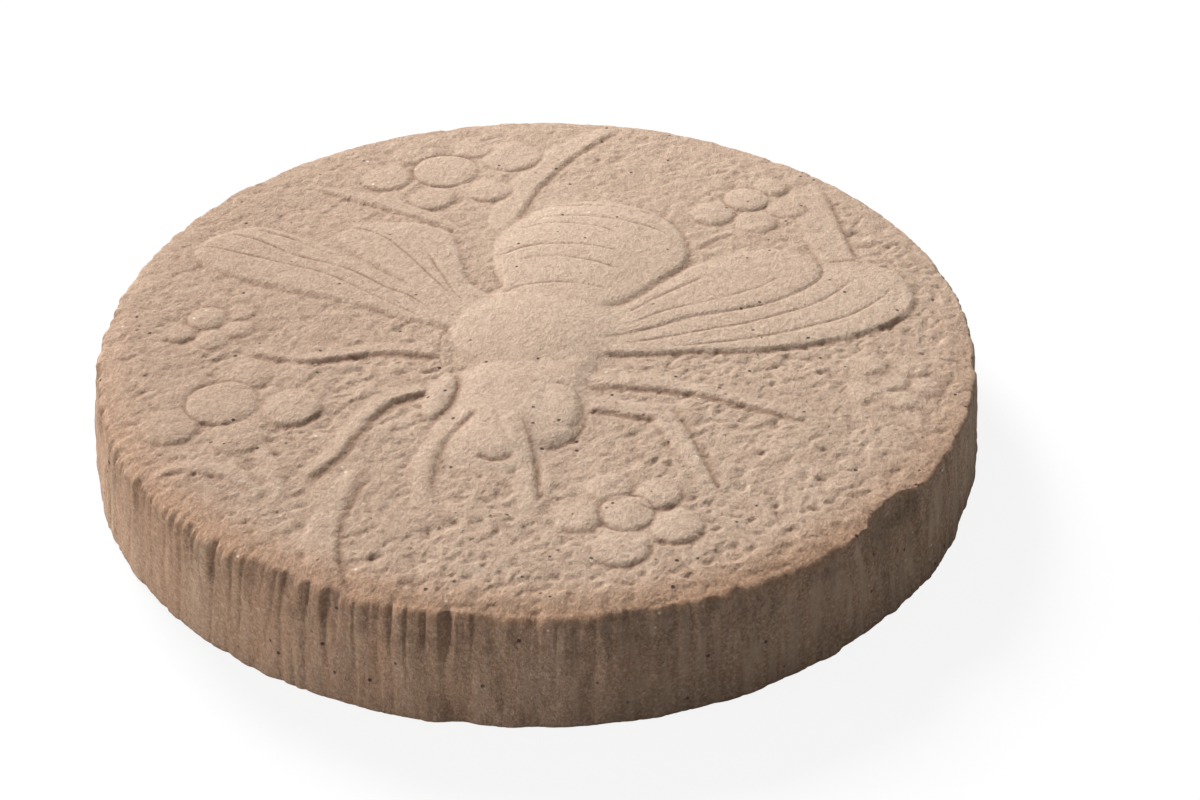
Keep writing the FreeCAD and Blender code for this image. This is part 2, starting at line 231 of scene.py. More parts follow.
# The daisies: the disc's centre and radius, then each petal's centre, its radius and the share of its
# height that is left
DAISIES = (
    ((-40.2, 107.5, 13.0), (
        (-62.7, 101, 10, 1.0), (-43.8, 86, 9, 0.9), (-22.2, 92, 8.6, 1.0), (-15.1, 120, 12.4, 1.0),
        (-31, 126, 8, 0.7), (-54, 122, 9.5, 0.4))),
    ((77.2, 87.2, 9.0), (
        (64, 77, 8.8, 0.9), (79.7, 70.5, 8.2, 0.8), (92, 80.6, 7.6, 0.9), (87.5, 97, 7, 0.8),
        (66, 97, 7, 0.25))),
    ((-115.0, 1.0, 7.2), (
        (-122.5, -8.5, 5.6, 0.9), (-111, -12, 6.2, 0.9), (-103, -5.5, 5.6, 1.0), (-104, 5, 5.6, 0.7),
        (-113, 11, 5.5, 0.4), (-126, 4, 5.4, 0.3))),
    ((-101.3, -48.6, 12.0), (
        (-78.5, -50.5, 10.2, 1.3), (-96, -32, 9.2, 0.8), (-81.5, -32.5, 7.5, 0.4), (-93, -66, 9, 0.7),
        (-115.5, -61.5, 9.5, 0.8), (-119.5, -43.5, 8.5, 0.25))),
    ((29.9, -102.4, 8.6), (
        (28, -117.5, 9.0, 1.0), (44.8, -108, 8.4, 1.3), (39.4, -93, 7.6, 1.0), (24.5, -89.5, 7.4, 0.8),
        (15.4, -104, 7.6, 0.8))),
)
FAINT_DAISY = (
    (119, -33, 5, 1.0), (108.5, -39, 5.5, 1.0), (120.5, -43, 5.5, 1.0), (130, -35.5, 5.5, 1.0),
    (126.5, -24.5, 5.5, 1.0), (112.5, -23.5, 5.5, 1.0))

# The chip in the rim: bearing, half length along the rim, depth inwards, drop, and how far it cuts the wall
CHIP_BEARING = -41.5
CHIP_HALF_LENGTH = 13.0
CHIP_DEPTH = 5.0
CHIP_DROP = 9.0
CHIP_WALL_CUT = 4.5

# The bearing of the most worn side
WORN_BEARING = -122.0

# How far in from the rim the relief is worn down
RIM_WEAR_REACH = 9.0

# Rows of places down the turn of the rim and down the wall below it
TURN_ROWS = 9
WALL_ROWS = 30

# The seeds of all the noise are counted from this one
SEED = 11

# The studio, in metres: the floor's half width, each lamp's place, aim and size, and the camera's place
FLOOR_REACH = 6.0
KEY_LAMP = ((-0.95, 1.70, 1.53), (0.0, 0.0, 0.03), 0.8)
SIDE_LAMP = ((-1.40, -0.46, 0.16), (0.0, 0.0, 0.02), 0.28)
FRONT_LAMP = ((-0.9, -1.1, 0.7), (0.0, 0.0, 0.02), 0.8)
CAMERA_PLACE = (0.02154, -0.51930, 0.38536)
WHITE = (1.0, 1.0, 1.0, 1.0)
PAINT = (0.92, 0.92, 0.92, 1.0)


def smoothstep(low, high, value):
    """0 below low, 1 above high, and the cubic 3t^2 - 2t^3 between them."""
    t = np.clip((value - low) / (high - low), 0.0, 1.0)
    return t * t * (3.0 - 2.0 * t)


def lattice_noise(across, along, wrap, seed):
    """Smooth noise from -1 to 1: random numbers on a lattice, blended with the smoothstep cubic.

    The lattice repeats after wrap cells each way, so noise round a circle closes on itself.
    """
    lattice = np.random.default_rng(seed).uniform(-1.0, 1.0, wrap)
    left, low = np.floor(across).astype(int), np.floor(along).astype(int)
    right_share = smoothstep(0.0, 1.0, across - left)
    high_share = smoothstep(0.0, 1.0, along - low)
    left, low, right, high = left % wrap[0], low % wrap[1], (left + 1) % wrap[0], (low + 1) % wrap[1]
    below = lattice[left, low] * (1 - right_share) + lattice[right, low] * right_share
    above = lattice[left, high] * (1 - right_share) + lattice[right, high] * right_share
    return below * (1 - high_share) + above * high_share


def ground_noise(x, y, cell, seed):
    """Noise over the plane with lattice cells of that size, turned so that no two sizes line up."""
    turn = seed * 0.7
    across = (x * math.cos(turn) - y * math.sin(turn)) / cell
    along = (x * math.sin(turn) + y * math.cos(turn)) / cell
    return lattice_noise(across, along, (512, 512), seed)


def pits(x, y, cell, share, seed):
    """Round hollows, 0 to 1 deep: one in some of the lattice's cells, each a paraboloid round its centre."""
    rng = np.random.default_rng(seed)
    place_x, place_y, size, chance = rng.uniform(0.0, 1.0, (4, 256, 256))
    column, row = np.floor(x / cell).astype(int), np.floor(y / cell).astype(int)
    depth = np.zeros_like(x)
    for step_x in (-1, 0, 1):
        for step_y in (-1, 0, 1):
            i, j = (column + step_x) % 256, (row + step_y) % 256
            off_x = x / cell - (column + step_x) - place_x[i, j]
            off_y = y / cell - (row + step_y) - place_y[i, j]
            radius = 0.25 + 0.45 * size[i, j]
            hollow = (1.0 - (off_x ** 2 + off_y ** 2) / radius ** 2) * radius / 0.7
            depth = np.maximum(depth, np.where(chance[i, j] < share, hollow, 0.0))
    return depth


def smooth_path(points, closed=False, steps=7):
    """Points on a Catmull-Rom spline: it passes each point in the direction from the last to the next."""
    known = np.array(points, float)
    if closed:
        before, start, after, beyond = (np.roll(known, shift, 0) for shift in (1, 0, -1, -2))
    else:
        longer = np.vstack([2 * known[0] - known[1], known, 2 * known[-1] - known[-2]])
        before, start, after, beyond = longer[:-3], longer[1:-2], longer[2:-1], longer[3:]
    t = (np.arange(steps) / steps)[None, :, None]
    before, start, after, beyond = (part[:, None] for part in (before, start, after, beyond))
    curve = 0.5 * (2 * start + (after - before) * t
                   + (2 * before - 5 * start + 4 * after - beyond) * t ** 2
                   + (3 * start - before - 3 * after + beyond) * t ** 3).reshape(-1, 2)
    return np.vstack([curve, known[:1]]) if closed else np.vstack([curve, known[-1:]])


def path_distance(x, y, path):
    """How far each place is from the path, and how far along the path its nearest point is, from 0 to 1."""
    start, step = path[:-1], np.diff(path, axis=0)
    off_x, off_y = x[..., None] - start[:, 0], y[..., None] - start[:, 1]
    share = np.clip((off_x * step[:, 0] + off_y * step[:, 1]) / (step ** 2).sum(1), 0.0, 1.0)
    distance = np.hypot(off_x - share * step[:, 0], off_y - share * step[:, 1])
    nearest = distance.argmin(-1)[..., None]
    along = (nearest + np.take_along_axis(share, nearest, -1)) / len(start)
    return np.take_along_axis(distance, nearest, -1)[..., 0], along[..., 0]


def outline_depth(x, y, path):
    """How far inside a closed outline each place is, and below 0 outside it. A place is inside where a
    line from it towards +X crosses the outline an odd number of times."""
    distance, _ = path_distance(x, y, path)
    low, high = path[:-1], path[1:]
    between = (low[:, 1] > y[..., None]) != (high[:, 1] > y[..., None])
    rise = np.where(high[:, 1] == low[:, 1], 1.0, high[:, 1] - low[:, 1])
    cross = low[:, 0] + (y[..., None] - low[:, 1]) * (high[:, 0] - low[:, 0]) / rise
    inside = (between & (cross > x[..., None])).sum(-1) % 2 == 1
    return np.where(inside, distance, -distance)


def ellipse_depth(x, y, centre, half_widths, turn=0.0):
    """How far inside an ellipse each place is, and its share k of the way out: k is 1 on the ellipse."""
    angle = math.radians(turn)
    across = (x - centre[0]) * math.cos(angle) + (y - centre[1]) * math.sin(angle)
    along = (y - centre[1]) * math.cos(angle) - (x - centre[0]) * math.sin(angle)
    k = np.hypot(across / half_widths[0], along / half_widths[1])
    slope = np.hypot(across / half_widths[0] ** 2, along / half_widths[1] ** 2) / np.maximum(k, 1e-6)
    return (1.0 - k) / np.maximum(slope, 1e-6), k


def blurred(layer, reach):
    """The layer averaged over a square window of that many cells each way, three times over."""
    for _ in range(3):
        for axis in (0, 1):
            edge = [(0, 0), (0, 0)]
            edge[axis] = (reach + 1, reach)
            total = np.cumsum(np.pad(layer, edge, mode="edge"), axis=axis)
            ends = np.take(total, range(2 * reach + 1, total.shape[axis]), axis=axis)
            starts = np.take(total, range(0, total.shape[axis] - 2 * reach - 1), axis=axis)
            layer = (ends - starts) / (2 * reach + 1)
    return layer


def towards_lean(inside, reach):
    """From 1 near an edge that faces the way the forms lean, to -1 near an edge that faces away from it:
    the fall of the blurred inside in that direction, as a share of a straight edge's."""
    across, along = np.gradient(blurred(inside.astype(float), reach))
    steepest = 1.0 / math.sqrt(2.0 * math.pi * reach * (reach + 1))
    return np.clip(-(across * LEAN[0] + along * LEAN[1]) / steepest, -1.0, 1.0)


class Relief:
    """The height of the tread above its plane on a square raster, and how smooth it is and how darkly it is
    painted for dirt and shade there, both from 0 to 1."""

    MOAT_DEPTH = 0.5

    def __init__(self):
        self.axis = np.arange(-RASTER_REACH, RASTER_REACH + RASTER_CELL, RASTER_CELL)
        self.height = np.zeros((len(self.axis), len(self.axis)))
        self.smooth = np.zeros_like(self.height)
        self.dirt_and_shade = np.zeros_like(self.height)

    def window(self, points, margin):
        """The part of the raster round those points, with the x and y of its places."""
        points = np.array(points, float)
        low = np.searchsorted(self.axis, points.min(0) - margin)
        high = np.searchsorted(self.axis, points.max(0) + margin)
        part = (slice(low[0], high[0]), slice(low[1], high[1]))
        x, y = np.meshgrid(self.axis[part[0]], self.axis[part[1]], indexing="ij")
        return part, x, y

    def lay(self, part, depth, step, crown, reach, edge, flush, moat, calm, on_top=False, moat_width=1.0):
        """Lay a form over what is there. Its step is full on the side that it leans to, with a moat of that
        width before it, painted dark as dirt and as the step's shade, and only the flush share of it on the
        other side, where it sinks into the ground. The moat's section is the bell exp(-((depth + 0.4 width)
        / width)^2) outside the edge."""
        stand = 0.5 + 0.5 * towards_lean(depth > 0, reach)
        height = step * (flush + (1.0 - flush) * stand) + crown
        # The moat, deepest on the side the form leans to, is also painted dark there as the step's shade
        hollow = moat * stand ** 2 * np.exp(-((depth + 0.4 * moat_width) / moat_width) ** 2)
        below = self.height[part]
        ground = below - self.MOAT_DEPTH * hollow * (depth < 0)
        share = smoothstep(0.0, edge, depth)
        raised = share * height + below if on_top else np.maximum(ground, share * height)
        self.height[part] = np.where(depth > 0, raised, ground)
        self.smooth[part] = np.maximum(self.smooth[part], calm * smoothstep(-0.4, 1.5, depth))
        self.dirt_and_shade[part] = np.maximum(self.dirt_and_shade[part] * (1.0 - smoothstep(0.0, 1.0, depth)), hollow)

    def oval(self, shape, heights, reach, edge, flush, moat, on_top=False, calm=1.0):
        """A pillow: the step at its edge, and a dome that falls off as 1 - k^2."""
        centre, half_widths, turn = shape
        size = max(half_widths)
        corners = [(centre[0] - size, centre[1] - size), (centre[0] + size, centre[1] + size)]
        part, x, y = self.window(corners, 6.0)
        depth, k = ellipse_depth(x, y, centre, half_widths, turn)
        dome = heights[1] * np.clip(1.0 - k * k, 0.0, 1.0)
        self.lay(part, depth, heights[0], dome, reach, edge, flush, moat, calm, on_top)

    def field(self, outline, heights, dome_reach, edge, flush, moat, calm):
        """A form inside an outline: the step at its edge, and a crown that rises in from it and levels
        off, as t(2 - t) of the way t over the dome's reach."""
        path = smooth_path(outline, closed=True)
        part, x, y = self.window(path, 6.0)
        depth = outline_depth(x, y, path)
        rise = np.clip(depth / dome_reach, 0.0, 1.0)
        self.lay(part, depth, heights[0], heights[1] * rise * (2.0 - rise), 11, edge, flush, moat, calm)

    def bar(self, points, widths, step, wear=0.0, calm=0.7, moat=1.0, on_top=False, fade=0.14,
            moat_width=1.0):
        """A bar along a path, worn lower in places by that share of its step. It fades out at its ends."""
        path = smooth_path(points)
        part, x, y = self.window(path, 10.0)
        distance, along = path_distance(x, y, path)
        half = np.interp(along, np.linspace(0.0, 1.0, len(widths)), np.array(widths) / 2)
        kept = 1.0 - wear * smoothstep(-0.3, 0.6, ground_noise(x, y, 7.0, SEED + 90))
        kept = kept * smoothstep(0.0, fade, 1.0 - along) * smoothstep(0.0, 0.5 * fade, along)
        self.lay(part, half - distance, step * kept, 0.0, 4, 1.7, 0.1, moat * kept, calm, on_top, moat_width)

    def line(self, points, width, depth, dirt_and_shade):
        """A drawn line: a groove whose section is the bell exp(-(d / width)^2), shallower at its ends,
        painted that much darker as dirt and as the groove's shade."""
        path = smooth_path(points)
        part, x, y = self.window(path, 4.0)
        distance, along = path_distance(x, y, path)
        ends = smoothstep(0.0, 0.08, along) * smoothstep(0.0, 0.12, 1.0 - along)
        worn = 0.75 + 0.35 * ground_noise(x, y, 9.0, SEED + 91)
        groove = worn * (0.35 + 0.65 * ends) * np.exp(-((distance / width) ** 2))
        self.height[part] -= depth * groove
        self.dirt_and_shade[part] = np.maximum(self.dirt_and_shade[part], dirt_and_shade * groove)

    def rounds(self, petals, heights, flush, moat, calm=0.7):
        """Round petals, each a circle given as its centre, its radius and its share of the heights."""
        for x, y, radius, kept in petals:
            reach = 7 if radius > 7.0 else 5
            shape = ((x, y), (radius, radius), 0.0)
            lowered = (kept * heights[0], kept * heights[1])
            self.oval(shape, lowered, reach, 1.5, flush, kept * moat, calm=kept * calm)

    def arc(self, x, y, radius, bearings, width, depth, dirt_and_shade):
        """A drawn line along a circle, over bearings in degrees."""
        turn = np.radians(bearings)
        points = np.stack([x + radius * np.cos(turn), y + radius * np.sin(turn)], -1)
        self.line(points, width, depth, dirt_and_shade)

    def daisy_lines(self, disc, petals):
        """The groove round the disc, and the line at each petal's foot on the side that it leans to, both
        painted dark as dirt and shade.
        """
        self.arc(*disc, np.arange(0, 375, 15), *DISC_GROOVE)
        width, depth, dirt_and_shade = PETAL_GROOVE
        for x, y, radius, kept in petals:
            self.arc(x, y, radius, np.arange(-138, 22, 10), width, depth * kept, dirt_and_shade * min(1.0, kept))

    def at(self, layer, x, y):
        """The layer's value at those places, blended between the raster's four nearest."""
        across = np.clip((x + RASTER_REACH) / RASTER_CELL, 0, len(self.axis) - 1.001)
        along = np.clip((y + RASTER_REACH) / RASTER_CELL, 0, len(self.axis) - 1.001)
        i, j = across.astype(int), along.astype(int)
        u, v = across - i, along - j
        near = layer[i, j] * (1 - v) + layer[i, j + 1] * v
        far = layer[i + 1, j] * (1 - v) + layer[i + 1, j + 1] * v
        return near * (1 - u) + far * u


def carve_relief():
    """The whole motif, from what lies lowest to what lies on top, then worn, then its drawn lines."""
    relief = Relief()
    for points, widths in BLADES:
        relief.bar(points, widths, BLADE_STEP, moat=0.9, fade=0.02)
    for points, widths in STEMS:
        relief.bar(points, widths, STEM_STEP, 0.3, 0.5)
    for form in FIELDS:
        relief.field(*form)
    for form in OVALS:
        relief.oval(*form)
    for points, widths in LEGS:
        relief.bar(points, widths, LEG_STEP, 0.2, 0.55, 1.6, on_top=True, fade=0.07, moat_width=1.8)
    for points, widths in ANTENNAE:
        relief.bar(points, widths, ANTENNA_STEP, 0.2, 0.8, 1.2, on_top=True)
    for disc, petals in DAISIES:
        relief.rounds(petals, PETAL_HEIGHTS, 0.1, 0.7)
        relief.rounds([(*disc, 1.0)], DISC_HEIGHTS, 0.6, 0.1, 0.85)
    relief.rounds(FAINT_DAISY, FAINT_PETAL_HEIGHTS, 0.1, 0.6, 0.4)
    relief.height = blurred(relief.height, 1)
    for disc, petals in DAISIES:
        relief.daisy_lines(disc, petals)
    for points in VEINS + BODY_LINES:
        relief.line(points, *FINE_LINE)
    relief.line(MOUTH_LINE, *MOUTH_GROOVE)
    for points in FOOT_SHADE_LINES:
        relief.line(points, *DEEP_LINE)
    return relief


def roughen(relief, roughness):
    """Lumps and ragged hollows between the raised forms, and only a little of them on the forms. The
    hollows are where slanting noise rises above a level, deeper near the rim and at the front right."""
    x, y = np.meshgrid(relief.axis, relief.axis, indexing="ij")
    slanting = x - 0.4 * y
    broad = 0.5 + 0.5 * ground_noise(x, y, 28.0, SEED)
    lumps = 0.24 * ground_noise(x, y, 12.0, SEED + 1) + 0.22 * ground_noise(x, y, 5.0, SEED + 2)
    lumps += 0.17 * ground_noise(x, y, 2.2, SEED + 3)
    hollows = np.clip(ground_noise(slanting, y, 3.6, SEED + 4) - 0.26, 0.0, 1.0)
    hollows += 0.9 * np.clip(ground_noise(slanting, y, 2.0, SEED + 5) - 0.28, 0.0, 1.0)
    near_rim = smoothstep(95.0, 140.0, np.hypot(x, y))
    front_right = smoothstep(50.0, -40.0, y - 0.45 * x)
    hollow_depth = 0.20 + 0.4 * broad + 0.15 * near_rim + 0.35 * front_right
    rough = roughness * (1.15 * lumps - hollow_depth * hollows)
    fine = 0.10 * ground_noise(x, y, 6.0, SEED + 6) + 0.09 * ground_noise(x, y, 2.2, SEED + 7)
    small_holes = 0.30 * pits(x, y, 5.0, 0.08, SEED + 8)
    calm = blurred(relief.smooth, 1)
    relief.height += (1 - calm) * rough + calm * (fine - small_holes)


def round_the_wall(bearing):
    """The same bearing as a share of the way round, from 0 to 1."""
    return (bearing / (2 * math.pi)) % 1.0


def wear_side(bearing):
    """How worn the wall is at each bearing: most at the front left, least at the back right."""
    return 0.62 + 0.38 * np.cos(bearing - math.radians(WORN_BEARING))


def rim_roll(bearing):
    """The radius of the worn rim at each bearing, from the least worn side to the most worn."""
    return RIM_ROLL[0] + (RIM_ROLL[1] - RIM_ROLL[0]) * wear_side(bearing) ** 3


def flutes(bearing, below):
    """How deep the drag marks in the wall are: narrow grooves where noise round the wall passes zero,
    deepest just below the rim. Below is the distance down from the rim in millimetres."""
    around = round_the_wall(bearing)
    depth = np.zeros(np.broadcast(bearing, below).shape)
    for cells, run, strength, seed in ((130, 60.0, 1.0, 1), (240, 45.0, 0.7, 2), (430, 30.0, 0.3, 3)):
        noise = lattice_noise(around * cells, below / run, (cells, 8), SEED + 20 + seed)
        depth += strength * (1.0 - np.abs(noise)) ** 3
    broad = lattice_noise(around * 9, below / 60.0, (9, 4), SEED + 30)
    return depth * wear_side(bearing) * (0.55 + 0.6 * np.exp(-below / 12.0)) * (0.8 + 0.4 * broad)


def notches(bearing, below):
    """How deep the hollows under the rim are: crests of noise round the wall, fading within 3 to
    15 millimetres down, each over a run of its own."""
    around = round_the_wall(bearing)
    crest = np.clip(lattice_noise(around * 220, 0 * around, (220, 2), SEED + 31) - 0.10, 0.0, 1.0)
    small = np.clip(lattice_noise(around * 400, 0 * around, (400, 2), SEED + 32) - 0.25, 0.0, 1.0)
    run = 9.0 + 6.0 * lattice_noise(around * 80, 0 * around, (80, 2), SEED + 33)
    return (2.8 * crest + 1.4 * small) * wear_side(bearing) ** 2 * np.exp(-((below / run) ** 2))


def rim_crumble(bearing):
    """How far the rim has crumbled inwards at each bearing: soft waves, the mouths of the flutes and of the
    notches, and a few nicks."""
    around = round_the_wall(bearing)
    at_rim = np.zeros_like(bearing)
    waves = 0.4 * lattice_noise(around * 60, 0 * around, (60, 2), SEED + 40)
    waves += 0.35 * lattice_noise(around * 170, 0 * around, (170, 2), SEED + 41)
    nicks = np.clip(lattice_noise(around * 95, 0 * around, (95, 2), SEED + 42) - 0.6, 0.0, 1.0)
    mouths = 0.5 * flutes(bearing, at_rim) + 0.35 * notches(bearing, at_rim)
    return 0.15 + waves + mouths + 3.0 * nicks


def chip_share(x, y):
    """How far each place is into the chip: 1 at its middle on the rim, 0 on its edge, below 0 outside."""
    middle = math.radians(CHIP_BEARING)
    out = x * math.cos(middle) + y * math.sin(middle)
    along = y * math.cos(middle) - x * math.sin(middle)
    inwards = TREAD_RADIUS - out
    ragged = 0.22 * ground_noise(x, y, 4.0, SEED + 50) + 0.1 * ground_noise(x, y, 1.7, SEED + 51)
    return 1.0 - (inwards / CHIP_DEPTH) ** 2 - (along / CHIP_HALF_LENGTH) ** 4 + ragged


def disc_grid(count):
    """A square grid of count by count places on a disc of radius 1. Each square ring of the grid becomes
    a circle: the ring's size is the radius, and the way along its side is the bearing."""
    side = np.linspace(-1.0, 1.0, count)
    a, b = np.meshgrid(side, side, indexing="ij")
    upright = np.abs(b) >= np.abs(a)
    radius = np.where(upright, b, a)
    ratio = np.where(upright, a, b) / np.where(radius == 0, 1.0, radius)
    bearing = np.where(upright, math.pi / 2 - math.pi / 4 * ratio, math.pi / 4 * ratio)
    return radius * np.cos(bearing), radius * np.sin(bearing)


def ring_order(count):
    """The numbers of the grid's outermost places, once round anticlockwise."""
    index = np.arange(count * count).reshape(count, count)
    return np.concatenate([index[:-1, 0], index[-1, :-1], index[:0:-1, -1], index[0, :0:-1]])


def tread_surface(relief, count):
    """The tread's places: the disc grid spread to the crumbled rim, and raised by relief, wear and chip."""
    unit_x, unit_y = disc_grid(count)
    share = np.hypot(unit_x, unit_y)
    bearing = np.arctan2(unit_y, unit_x)
    inner = TREAD_RADIUS - rim_roll(bearing)
    crumble = rim_crumble(bearing)
    radius = share * inner - share ** 24 * crumble * 0.8
    x, y = radius * np.cos(bearing), radius * np.sin(bearing)
    height = relief.at(relief.height, x, y)
    worn = smoothstep(inner - RIM_WEAR_REACH, inner, radius)
    height = height * (1.0 - 0.5 * worn) - worn ** 2 * (0.3 * crumble + 1.2 * wear_side(bearing) ** 3)
    chip = np.sqrt(np.clip(chip_share(x, y), 0.0, 1.0))
    height = height - CHIP_DROP * chip
    return x, y, THICKNESS + height, relief.at(relief.smooth, x, y), chip


def wall_surface(x, y, z):
    """The wall's places below the tread's last ring, how hollow it is there, which is painted as shade in
    the flutes and notches, and its share in the chip.

    The rim turns over on a quarter circle: down by r(1 - cos turn) and out by sin turn of the way to the
    wall. The wall then flares out to the base with its flutes, and ends in a small chamfer.
    """
    bearing = np.arctan2(y, x)[None, :]
    edge_radius, edge_height = np.hypot(x, y)[None, :], z[None, :]
    turn = np.linspace(0.0, math.pi / 2, TURN_ROWS)[1:, None]
    roll = rim_roll(bearing)
    chip = np.sqrt(np.clip(chip_share(x, y), 0.0, 1.0))[None, :]
    turn_height = edge_height - roll * (1.0 - np.cos(turn))
    down = np.linspace(0.0, 1.0, WALL_ROWS)[1:, None]
    wall_height = (edge_height - roll) * (1.0 - down ** 1.25) + BASE_CHAMFER * down ** 1.25
    height = np.vstack([turn_height, wall_height])
    below = np.clip(THICKNESS - height - roll, 0.0, None)
    flare = (BASE_RADIUS - TREAD_RADIUS) / THICKNESS
    around = round_the_wall(bearing)
    lumps = 0.34 * lattice_noise(around * 60, below / 12.0, (60, 8), SEED + 60)
    lumps = lumps + 0.26 * lattice_noise(around * 240, below / 3.6, (240, 16), SEED + 61)
    holes = 1.3 * pits(around * 970.0, below, 16.0, 0.12, SEED + 62)
    drawn, bitten = flutes(bearing, below), notches(bearing, below)
    wall = TREAD_RADIUS + flare * (THICKNESS - height) - drawn - bitten + lumps - holes
    wall = wall - CHIP_WALL_CUT * chip * np.exp(-np.clip(below - 8.0, 0.0, None) / 7.0)
    foot = smoothstep(3.0, 0.5, height)
    ragged = 0.5 + 0.5 * lattice_noise(around * 120, 0 * below, (120, 2), SEED + 63)
    wall = wall - foot * 0.6 * ragged
    share = np.vstack([np.sin(turn), np.ones_like(down)])
    radius = np.minimum(edge_radius + (wall - edge_radius) * share, BASE_RADIUS - 0.15)
    # The flutes and the notches under the rim, painted darker as their shade
    hollow = np.clip(0.36 + 0.19 * drawn + 0.30 * bitten, 0.0, 1.0)
    broken = chip * np.exp(-np.clip(below - 6.0, 0.0, None) / 5.0)
    return radius * np.cos(bearing), radius * np.sin(bearing), height, hollow, broken


def stone_mesh(detail, roughness):
    """The stone as one closed surface: tread, wall and underside, with what the material needs to know."""
    relief = carve_relief()
    roughen(relief, roughness)
    # How far each place lies below its blurred surroundings, painted later as shade in the hollows
    hollow = blurred(relief.height, 4) - relief.height
    ring = ring_order(detail)
    top_x, top_y, top_z, smooth, chip = [part.ravel() for part in tread_surface(relief, detail)]
    wall_x, wall_y, wall_z, wall_hollow_shade, wall_broken = wall_surface(top_x[ring], top_y[ring], top_z[ring])
    rows, columns = wall_x.shape
    foot_share = (BASE_RADIUS - 2 * BASE_CHAMFER) / BASE_RADIUS
    x = np.concatenate([top_x, wall_x.ravel(), wall_x[-1] * foot_share, [0.0]])
    y = np.concatenate([top_y, wall_y.ravel(), wall_y[-1] * foot_share, [0.0]])
    z = np.concatenate([top_z, wall_z.ravel(), np.zeros(columns + 1)])
    count = detail * detail
    grid = np.arange(count).reshape(detail, detail)
    top = np.stack([grid[:-1, :-1], grid[1:, :-1], grid[1:, 1:], grid[:-1, 1:]], -1).reshape(-1, 4)
    below = count + np.arange((rows + 1) * columns).reshape(rows + 1, columns)
    rings = np.vstack([ring[None, :], below])
    after = np.roll(rings, -1, axis=1)
    side = np.stack([rings[:-1], rings[1:], after[1:], after[:-1]], -1).reshape(-1, 4)
    fan = np.stack([rings[-1], np.full(columns, len(x) - 1), after[-1]], -1)
    mesh = mesh_from_arrays("stepping_stone_cast", np.stack([x, y, z], -1) * MM, np.vstack([top, side]), fan)
    others = len(x) - count
    hollow_shade_and_dirt = np.full(len(x), 0.5)
    # Painted shade in the tread's hollows, with the painted dirt and shade of moats and grooves
    hollow_shade_and_dirt[:count] = np.clip(0.5 + 0.5 * relief.at(hollow + 0.75 * relief.dirt_and_shade, top_x, top_y), 0.0, 1.0)
    hollow_shade_and_dirt[count:count + wall_hollow_shade.size] = wall_hollow_shade.ravel()
    motif = np.concatenate([smooth, np.zeros(others)])
    broken = np.concatenate([chip, wall_broken.ravel(), np.zeros(columns + 1)])
    colours = np.stack([hollow_shade_and_dirt, motif, broken, np.ones(len(x))], -1)
    layer = mesh.color_attributes.new("surface", "FLOAT_COLOR", "POINT")
    layer.data.foreach_set("color", colours.astype(np.float32).ravel())
    return mesh


def mesh_from_arrays(name, places, quads, triangles):
    """A mesh from arrays of places, of four-sided faces and of three-sided faces."""
    mesh = bpy.data.meshes.new(name)
    loops = np.concatenate([quads.ravel(), triangles.ravel()])
    starts = np.concatenate([np.arange(len(quads)) * 4, len(quads) * 4 + np.arange(len(triangles)) * 3])
    mesh.vertices.add(len(places))
    mesh.vertices.foreach_set("co", places.astype(np.float32).ravel())
    mesh.loops.add(len(loops))
    mesh.loops.foreach_set("vertex_index", loops.astype(np.int32))
    mesh.polygons.add(len(starts))
    mesh.polygons.foreach_set("loop_start", starts.astype(np.int32))
    mesh.update(calc_edges=True)
    mesh.validate()
    return mesh


def thinned(mesh, triangles):
    """The mesh with its least needed edges closed up, until it has about that many triangles."""
    piece = bpy.data.objects.new("thinning", mesh)
    bpy.context.scene.collection.objects.link(piece)
    modifier = piece.modifiers.new("Thin", "DECIMATE")
    sides = np.zeros(len(mesh.polygons), np.int32)
    mesh.polygons.foreach_get("loop_total", sides)
    modifier.ratio = min(1.0, triangles / float((sides - 2).sum()))
    ready = piece.evaluated_get(bpy.context.evaluated_depsgraph_get())
    result = bpy.data.meshes.new_from_object(ready)
    bpy.data.objects.remove(piece)
    result.polygons.foreach_set("use_smooth", np.ones(len(result.polygons), bool))
    return result


class Shade:
    """A shader socket in an expression. Its operators add Math nodes, and node() adds any other."""

    def __init__(self, tree, socket=None):
        self.tree = tree
        self.socket = socket

    def node(self, kind, settings=None, sockets=None, output=0):
        """A node of that kind: its settings first, then its sockets by name or number, given as values or
        links. Stops are a colour ramp's, as (place, colour)."""
        made = self.tree.nodes.new(kind)
        for name, value in (settings or {}).items():
            if name == "stops":
                while len(made.color_ramp.elements) < len(value):
                    made.color_ramp.elements.new(0.5)
                for element, (place, colour) in zip(made.color_ramp.elements, value):
                    element.position = place
                    element.color = colour
            else:
                setattr(made, name, value)
        for name, value in (sockets or {}).items():
            if isinstance(value, Shade):
                self.tree.links.new(value.socket, made.inputs[name])
            else:
                made.inputs[name].default_value = value
        return Shade(self.tree, made.outputs[output] if made.outputs else None)

    def math(self, operation, first, second):
        return self.node("ShaderNodeMath", {"operation": operation}, {0: first, 1: second})

    def __add__(self, other):
        return self.math("ADD", self, other)

    def __radd__(self, other):
        return self.math("ADD", other, self)

    def __sub__(self, other):
        return self.math("SUBTRACT", self, other)

    def __rsub__(self, other):
        return self.math("SUBTRACT", other, self)

    def __mul__(self, other):
        return self.math("MULTIPLY", self, other)

    def __rmul__(self, other):
        return self.math("MULTIPLY", other, self)

    def __pow__(self, other):
        return self.math("POWER", self, other)

    def spread(self, low, high):
        """0 at low and 1 at high, held within 0 and 1."""
        values = {"Value": self, "From Min": low, "From Max": high}
        return self.node("ShaderNodeMapRange", {"clamp": True}, values)

    def toward(self, colour, share):
        """This colour, mixed towards another by that share."""
        settings = {"data_type": "RGBA", "blend_type": "MIX"}
        return self.node("ShaderNodeMix", settings, {0: share, 6: self, 7: colour}, 2)


